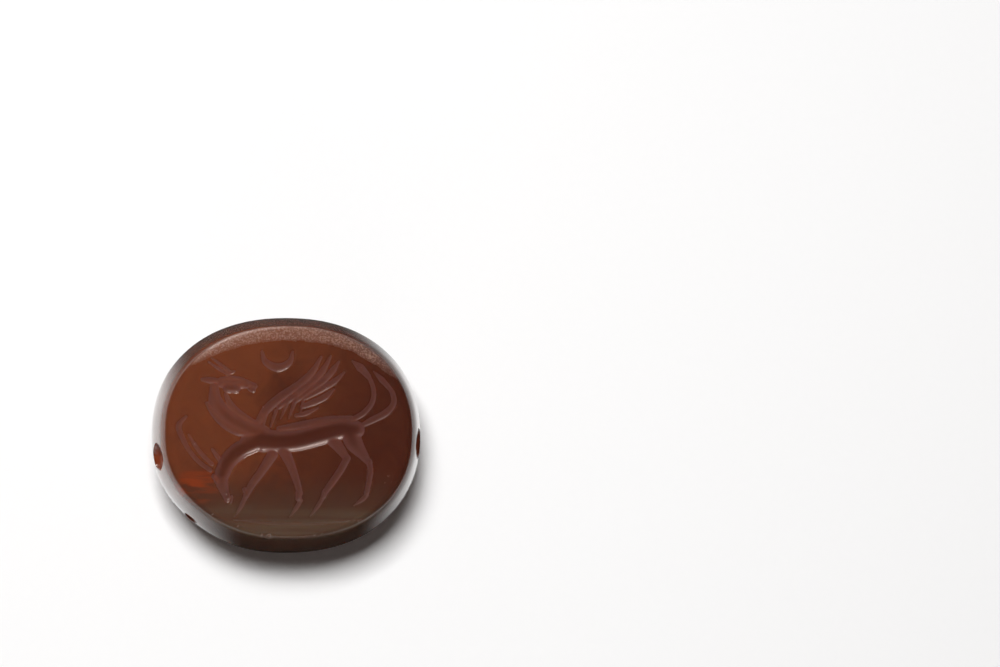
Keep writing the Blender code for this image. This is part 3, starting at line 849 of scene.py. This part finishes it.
def dent_rim(points, worn):
    """Press the dents into the rim, inwards and down, and frost them."""
    for direction, height, width, depth in RIM_DENTS:
        middle = flank_point(math.radians(direction), height * MM)
        inward = Vector((-middle.x, -middle.y, -middle.z * DENT_DOWNWARD)).normalized()
        for i in np.flatnonzero(np.linalg.norm(points - middle, axis=1) < width * MM):
            point = Vector(points[i])
            uneven = 1 + DENT_UNEVENNESS * noise.noise(point / DENT_GRAIN)
            share = float(bell((point - middle).length / (width * MM / 2) * uneven))
            points[i] += np.array(inward) * depth * MM * share
            worn[i] = max(worn[i], min(1.0, share * DENT_FROST))


def mark_surfaces(stone, settings):
    """Attributes that the finish reads, and the dents in the rim, which add to them."""
    mesh = stone.data
    points = vectors_of(mesh.vertices, "co")
    height = points[:, 2].copy()
    near_face = height > THICKNESS - NEAR_FACE
    cut_depth, worn = np.zeros(len(points)), np.zeros(len(points))
    cut_depth[near_face] = engraving_depth(*points[near_face, :2].T, settings) / MM
    worn[near_face] = frost_near_face(points[near_face], settings)
    # Steepness of the surface, which the finish uses to paint light onto the walls of the cuts.
    steep = np.clip((1 - vectors_of(mesh.vertex_normals, "vector")[:, 2]) / STEEP_SLOPE, 0, 1)
    flank = (height < THICKNESS - BORED_BELOW_FACE) & (height > BORED_ABOVE_TABLE)
    bored = np.clip((BORED_LEVEL - inside_share(points)) / BORED_FADE, 0, 1) * flank
    dent_rim(points, worn)
    mesh.vertices.foreach_set("co", points.ravel())
    marks = {"cut_depth": cut_depth, "steep": steep, "worn": worn, "bored": bored}
    for name, values in marks.items():
        layer = mesh.attributes.new(name, "FLOAT", "POINT")
        layer.data.foreach_set("value", values.astype(np.float32))


def sharpen_bore_edges(stone):
    """Crisp edges where the bore and the chip break the polished flank."""
    work = bmesh.new()
    work.from_mesh(stone.data)
    for edge in work.edges:
        low = max(vert.co.z for vert in edge.verts) < THICKNESS - CRISP_BELOW_FACE
        if low and edge.calc_face_angle(0) > CRISP_ANGLE:
            edge.smooth = False
    work.to_mesh(stone.data)
    work.free()


# Finishes, with places and thresholds in millimetres

# Middle of the patch of ember streaks
STREAKS_PLACE = Vector((-5.1, -3.0))


class Pattern:
    """A number that varies over the surface: Python's operators on it add Math nodes."""

    def __init__(self, finish, socket):
        self.finish = finish
        self.socket = socket

    def math(self, operation, *others, clamp=False):
        """A Math node on this number and others."""
        inputs = dict(enumerate((self, *others)))
        settings = {"operation": operation, "use_clamp": clamp}
        return Pattern(self.finish, self.finish.node("ShaderNodeMath", settings, inputs).outputs[0])

    def __add__(self, other):
        return self.math("ADD", other)

    def __mul__(self, other):
        return self.math("MULTIPLY", other)

    def __sub__(self, other):
        return self.math("SUBTRACT", other)

    def __rsub__(self, other):
        return self.finish.number(other).math("SUBTRACT", self)

    __radd__ = __add__
    __rmul__ = __mul__

    def clamped(self):
        return self.math("ADD", 0.0, clamp=True)

    def between(self, low, high):
        """0 below low, 1 above high and smooth in between."""
        inputs = {"Value": self, "From Min": low, "From Max": high}
        made = self.finish.node("ShaderNodeMapRange", {"interpolation_type": "SMOOTHSTEP"}, inputs)
        return Pattern(self.finish, made.outputs["Result"])


class Finish:
    """A material that is being built from nodes."""

    def __init__(self, name):
        self.material = bpy.data.materials.new(name)
        self.material.use_nodes = True
        self.tree = self.material.node_tree
        self.tree.nodes.clear()

    def node(self, kind, settings=None, inputs=None):
        """A node with its settings, then the values or links of its sockets, by identifier."""
        made = self.tree.nodes.new(kind)
        for name, value in (settings or {}).items():
            setattr(made, name, value)
        sockets = {socket.identifier: socket for socket in made.inputs}
        for name, value in (inputs or {}).items():
            socket = made.inputs[name] if isinstance(name, int) else sockets[name]
            if isinstance(value, Pattern):
                value = value.socket
            if isinstance(value, bpy.types.NodeSocket):
                self.tree.links.new(value, socket)
            elif socket.type == "RGBA":
                socket.default_value = (*value, 1.0)
            else:
                socket.default_value = value
        return made

    def number(self, value):
        """A plain number as a pattern."""
        made = self.node("ShaderNodeMath", {"operation": "ADD"}, {0: value, 1: 0.0})
        return Pattern(self, made.outputs[0])

    def attribute(self, name):
        """A mark on the mesh."""
        made = self.node("ShaderNodeAttribute", {"attribute_name": name})
        return Pattern(self, made.outputs["Fac"])

    def millimetres(self):
        """Object coordinates in millimetres, as a vector and as three numbers."""
        place = self.node("ShaderNodeTexCoord").outputs["Object"]
        inputs = {0: place, "Scale": 1 / MM}
        scaled = self.node("ShaderNodeVectorMath", {"operation": "SCALE"}, inputs).outputs[0]
        parts = self.node("ShaderNodeSeparateXYZ", None, {0: scaled})
        return scaled, [Pattern(self, parts.outputs[axis]) for axis in "XYZ"]

    def cloud(self, vector, scale, detail, roughness, distortion=0.0):
        """Soft chance values from 0 to 1."""
        inputs = {
            "Vector": vector,
            "Scale": scale,
            "Detail": detail,
            "Roughness": roughness,
            "Distortion": distortion,
        }
        return Pattern(self, self.node("ShaderNodeTexNoise", None, inputs).outputs["Fac"])

    def stretched(self, vector, scale):
        """The vector with a scale of its own along each axis."""
        return self.node("ShaderNodeMapping", None, {"Vector": vector, "Scale": scale}).outputs[0]

    def mixed(self, share, first, second):
        """The first colour where share is 0, the second where it is 1."""
        inputs = {"Factor_Float": share, "A_Color": first, "B_Color": second}
        return self.node("ShaderNodeMix", {"data_type": "RGBA"}, inputs).outputs[2]

    def close(self, shader):
        """The material, with this shader on its surface."""
        self.node("ShaderNodeOutputMaterial", None, {"Surface": shader.outputs[0]})
        return self.material


def stone_colour(finish, colours, place, axes):
    """The polished stone: warm and dense clouds, the lower layer with its seam, and the streaks."""
    x, y, z = axes
    slow = finish.cloud(place, 0.22, 2.0, 0.45, 0.4)
    wisps = finish.cloud(place, 0.75, 4.0, 0.6, 0.9)
    bands = finish.cloud(finish.stretched(place, (0.12, 2.2, 2.2)), 1.0, 2.0, 0.5)
    strands = finish.cloud(finish.stretched(place, (0.35, 2.6, 1.0)), 1.0, 3.0, 0.6, 0.6)

    warm = (0.42 - x * 0.07 + y * 0.05 + (slow - 0.5) * 1.3 + (wisps - 0.5) * 0.9).between(0.0, 1.0)
    dense = (x * 0.13 - 0.1 + (wisps - 0.5) * 2.0 + (slow - 0.5) * 1.2).between(0.0, 1.0)
    layer = (y * -1.0 - 3.3 + (slow - 0.5) * 1.2).between(-1.5, 0.9)
    lower_edge = (y * -1.0 - 4.3 + (slow - 0.5) * 0.8).between(-0.5, 0.6) * z.between(7.8, 8.3)
    seam = lower_edge * (0.2 + bands.between(0.3, 0.65) * 0.45)
    across, up = x - STREAKS_PLACE.x, y - STREAKS_PLACE.y
    patch = (2.4 - across * across - up * up * 2.0).between(0.0, 1.8) * z.between(5.0, 8.0)
    streaks = patch * strands.between(0.38, 0.6)

    colour = finish.mixed(warm, colours.body, colours.honey)
    colour = finish.mixed(dense * 0.7, colour, colours.liver_and_cut_shade)
    colour = finish.mixed(layer * 0.8, colour, colours.olive)
    colour = finish.mixed(seam, colour, colours.haze)
    return finish.mixed(streaks * 0.85, colour, colours.ember)


def carnelian_finish(colours):
    """Polished, cloudy carnelian: ground cuts, a frosted rim, an unpolished bore."""
    finish = Finish("carnelian")
    place, axes = finish.millimetres()
    depth = finish.attribute("cut_depth")
    steep = finish.attribute("steep")
    worn = finish.attribute("worn")
    bored = finish.attribute("bored")
    specks = finish.cloud(place, 9.0, 2.0, 0.6)
    grain = finish.cloud(place, 26.0, 2.0, 0.6)
    scuffs = finish.cloud(place, 3.2, 5.0, 0.7).between(0.52, 0.75)

    # Where the stone is cut at all, where the cut is deepest, which gets painted shade, and its lip
    carved = depth.between(0.012, 0.07)
    deep_cut_shade = depth.between(0.17, 0.31)
    lip = carved * (1 - depth.between(0.05, 0.12))

    colour = stone_colour(finish, colours, place, axes)
    colour = finish.mixed(specks.between(0.62, 0.8) * 0.16, colour, colours.liver_and_cut_shade)
    # Painted shade: the deepest part of each cut is darkened towards liver red.
    colour = finish.mixed(deep_cut_shade * 0.75, colour, colours.liver_and_cut_shade)
    # The mauve bloom of the ground cuts, made paler on steep walls as painted light and fainter where the cut
    # is deepest as painted shade.
    bloom_and_wall_light = carved * (0.34 + steep * 0.4 + (grain - 0.5) * 0.4) * (1 - deep_cut_shade * 0.8)
    colour = finish.mixed(bloom_and_wall_light.clamped(), colour, colours.ground)
    # Frost of the worn rim, the dents and the pits; on the pits and the near tuft it is partly a painted
    # highlight.
    mottle = 0.14 + specks.between(0.45, 0.62) * 0.5 + grain.between(0.5, 0.72) * 0.45
    frost = (worn * 1.5 - 0.5 + (specks - 0.5) * worn * 1.6).clamped() * mottle
    colour = finish.mixed(frost.clamped(), colour, colours.frost)
    colour = finish.mixed(bored * 0.7, colour, colours.ember)

    unpolished = carved * 0.24 + lip * 0.25 + worn * 0.35 + bored * 0.3
    rough = 0.12 + scuffs * 0.1 + unpolished + (grain - 0.5) * 0.06
    coat = 0.85 - carved * 0.68 - lip * 0.3 - worn * 0.8 - bored * 0.7
    height = grain * (0.05 + carved * 0.05 + worn * 0.9 + bored * 0.9) + specks * (0.05 + worn * 0.8)
    bump_inputs = {"Strength": 0.6, "Distance": 0.012 * MM, "Height": height}
    inputs = {
        "Base Color": colour,
        "Roughness": rough.clamped(),
        "IOR": 1.54,
        "Coat Weight": coat.clamped(),
        "Coat Roughness": 0.04,
        "Coat IOR": 1.58,
        "Subsurface Weight": 0.4,
        "Subsurface Radius": (1.0, 0.32, 0.14),
        "Subsurface Scale": 0.9 * MM,
        "Normal": finish.node("ShaderNodeBump", None, bump_inputs).outputs["Normal"],
    }
    return finish.close(finish.node("ShaderNodeBsdfPrincipled", None, inputs))


def table_finish(colour):
    """Smooth matt white board."""
    finish = Finish("white_board")
    place, _ = finish.millimetres()
    tooth = finish.cloud(place, 2.0, 3.0, 0.6)
    pale = tuple(channel * 0.985 for channel in colour)
    bump_inputs = {"Strength": 0.1, "Distance": 0.01 * MM, "Height": tooth}
    inputs = {
        "Base Color": finish.mixed(tooth, colour, pale),
        "Roughness": 0.85,
        "Specular IOR Level": 0.2,
        "Normal": finish.node("ShaderNodeBump", None, bump_inputs).outputs["Normal"],
    }
    return finish.close(finish.node("ShaderNodeBsdfPrincipled", None, inputs))


# Table, lights and camera

VIEW_DIRECTION = Vector((-0.055, -0.05, 1.0)).normalized()
STONE_PIXEL = Vector((286.5, 435.0))
PICTURE_SIZE = Vector((1000.0, 667.0))
SENSOR_WIDTH = 36.0
CLIP = (0.01, 2.0)
TABLE_HALF_WIDTH = 0.6

# Black cards: their outer edge, and the distances in millimetres between which they fade out
CARD_RADIUS = 60 * MM
CARD_HEIGHT = 0.05 * MM
CARD_FADE = (20.0, 60.0)
# Directions in radians between which each card fades in and then out
FAR_CARD = [math.radians(turn) for turn in (22, 66, 134, 166)]
NEAR_CARD = [math.radians(turn) for turn in (-152, -108, -56, -10)]
FAR_CARD_DENSITY = 0.94

# Lights: place and size in metres, colour, and whether it only shows in the polish
Light = collections.namedtuple("Light", "place size colour glossy")
LIGHTS = {
    "top": Light((-0.035, 0.06, 0.29), (0.07, 0.07), (1.0, 1.0, 1.0), False),
    "glint": Light((-0.06, 0.24, 0.055), (0.14, 0.07), (1.0, 0.88, 0.8), True),
    "fill": Light((0.0, -0.28, 0.12), (0.2, 0.1), (1.0, 0.8, 0.74), False),
}
ROOM_COLOUR = (1.0, 0.9, 0.86, 1.0)
ROOM_STRENGTH = 0.03


def add_table(settings):
    """The wide, pale table that the stone lies on."""
    work = bmesh.new()
    bmesh.ops.create_grid(work, x_segments=1, y_segments=1, size=TABLE_HALF_WIDTH)
    table = as_object("table", work)
    table.data.materials.append(table_finish(settings.table))


def card_finish():
    """Dull black card that fades out at its ends and towards its outer edge."""
    finish = Finish("black_card")
    _, (x, y, _) = finish.millimetres()
    turn = y.math("ARCTAN2", x)
    inner = 1 - (x * x + y * y).math("SQRT").between(*CARD_FADE)
    far = turn.between(*FAR_CARD[:2]) - turn.between(*FAR_CARD[2:])
    near = turn.between(*NEAR_CARD[:2]) - turn.between(*NEAR_CARD[2:])
    inputs = {
        "Base Color": (0.02, 0.015, 0.012),
        "Roughness": 0.9,
        "Specular IOR Level": 0.0,
        "Alpha": ((far * FAR_CARD_DENSITY + near) * inner).clamped(),
    }
    return finish.close(finish.node("ShaderNodeBsdfPrincipled", None, inputs))


def add_cards():
    """Black cards on the table beyond and before the stone, which only its polish picks up."""
    work = bmesh.new()
    bmesh.ops.create_circle(work, cap_ends=True, segments=64, radius=CARD_RADIUS)
    bmesh.ops.translate(work, vec=(0, 0, CARD_HEIGHT), verts=work.verts)
    card = as_object("black_card", work)
    card.data.materials.append(card_finish())
    card.visible_camera = card.visible_diffuse = card.visible_shadow = card.visible_transmission = False


def add_light(name, kind, power):
    """A soft box that faces the stone and either lights it or only shows in its polish."""
    lamp = bpy.data.lights.new(name, "AREA")
    lamp.shape = "RECTANGLE"
    lamp.size, lamp.size_y = kind.size
    lamp.energy = power
    lamp.color = kind.colour
    light = bpy.data.objects.new(name, lamp)
    bpy.context.scene.collection.objects.link(light)
    light.location = kind.place
    light.visible_camera = False
    light.visible_glossy = kind.glossy
    light.visible_diffuse = not kind.glossy
    towards_stone = Vector((0, 0, GIRTH_HEIGHT)) - light.location
    light.rotation_mode = "QUATERNION"
    light.rotation_quaternion = towards_stone.to_track_quat("-Z", "Y")


def dim_room():
    """The faint, warm light of the room around the table."""
    world = bpy.data.worlds.new("dim_room")
    world.use_nodes = True
    sockets = world.node_tree.nodes["Background"].inputs
    sockets["Color"].default_value = ROOM_COLOUR
    sockets["Strength"].default_value = ROOM_STRENGTH
    return world


def add_camera(settings):
    """A camera that sees the stone from VIEW_DIRECTION and puts its middle at STONE_PIXEL."""
    lens = bpy.data.cameras.new("camera")
    lens.lens = settings.lens
    lens.sensor_width = SENSOR_WIDTH
    lens.clip_start, lens.clip_end = CLIP
    camera = bpy.data.objects.new("camera", lens)
    bpy.context.scene.collection.objects.link(camera)
    middle = Vector((0, 0, GIRTH_HEIGHT))
    camera.location = middle + VIEW_DIRECTION * settings.view_distance
    aside = (STONE_PIXEL - PICTURE_SIZE / 2) * SENSOR_WIDTH / PICTURE_SIZE.x
    towards_stone = Vector((aside.x, -aside.y, -settings.lens))
    right = Vector((0, 1, 0)).cross(VIEW_DIRECTION).normalized()
    upright = Matrix((right, VIEW_DIRECTION.cross(right), VIEW_DIRECTION)).transposed()
    turn = towards_stone.rotation_difference(Vector((0, 0, -1)))
    camera.rotation_mode = "QUATERNION"
    camera.rotation_quaternion = upright.to_quaternion() @ turn
    bpy.context.scene.camera = camera


# The add-on


class SCARABOID_OT_carve_stone(bpy.types.Operator):
    """Carve and finish the seal stone"""

    bl_idname = "scaraboid.carve_stone"
    bl_label = "Carve Stone"

    def execute(self, context):
        settings = context.scene.scaraboid_stone
        face = face_mesh(settings)
        belt = as_object("flank_and_back", flank_and_back_mesh(face))
        cut_out(belt, cutters())
        stone = join_face(belt, face)
        mark_surfaces(stone, settings)
        sharpen_bore_edges(stone)
        stone.data.materials.clear()
        stone.data.materials.append(carnelian_finish(context.scene.scaraboid_colours))
        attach(stone, "root")
        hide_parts("seal_stone")
        return {"FINISHED"}


class SCARABOID_OT_set_table(bpy.types.Operator):
    """Set the table, the lights and the camera"""

    bl_idname = "scaraboid.set_table"
    bl_label = "Set Table"

    def execute(self, context):
        settings = context.scene.scaraboid_table
        add_table(settings)
        add_cards()
        for name, kind in LIGHTS.items():
            add_light(f"{name}_light", kind, getattr(settings, f"{name}_power"))
        context.scene.world = dim_room()
        context.scene.view_settings.view_transform = "Standard"
        add_camera(settings)
        return {"FINISHED"}


class SCARABOID_PT_panel(bpy.types.Panel):
    """Sidebar panel with the settings and the steps."""

    bl_label = "Scaraboid Seal"
    bl_idname = "SCARABOID_PT_panel"
    bl_space_type = "VIEW_3D"
    bl_region_type = "UI"
    bl_category = "Seal"

    def draw(self, context):
        for step, names in STEPS.items():
            column = self.layout.column()
            for name in names:
                for setting in GROUPS[name].__annotations__:
                    column.prop(getattr(context.scene, name), setting)
            column.operator(step)


GROUPS = {
    "scaraboid_stone": StoneSettings,
    "scaraboid_colours": CarnelianSettings,
    "scaraboid_table": TableSettings,
}
STEPS = {
    "scaraboid.carve_stone": ("scaraboid_stone", "scaraboid_colours"),
    "scaraboid.set_table": ("scaraboid_table",),
}
CLASSES = (*GROUPS.values(), SCARABOID_OT_carve_stone, SCARABOID_OT_set_table, SCARABOID_PT_panel)


def register():
    for made in CLASSES:
        bpy.utils.register_class(made)
    for name, group in GROUPS.items():
        setattr(bpy.types.Scene, name, PointerProperty(type=group))


def unregister():
    for name in GROUPS:
        delattr(bpy.types.Scene, name)
    for made in reversed(CLASSES):
        bpy.utils.unregister_class(made)


def main():
    register()
    bpy.ops.scaraboid.carve_stone()
    bpy.ops.scaraboid.set_table()


if __name__ == "__main__":
    main()
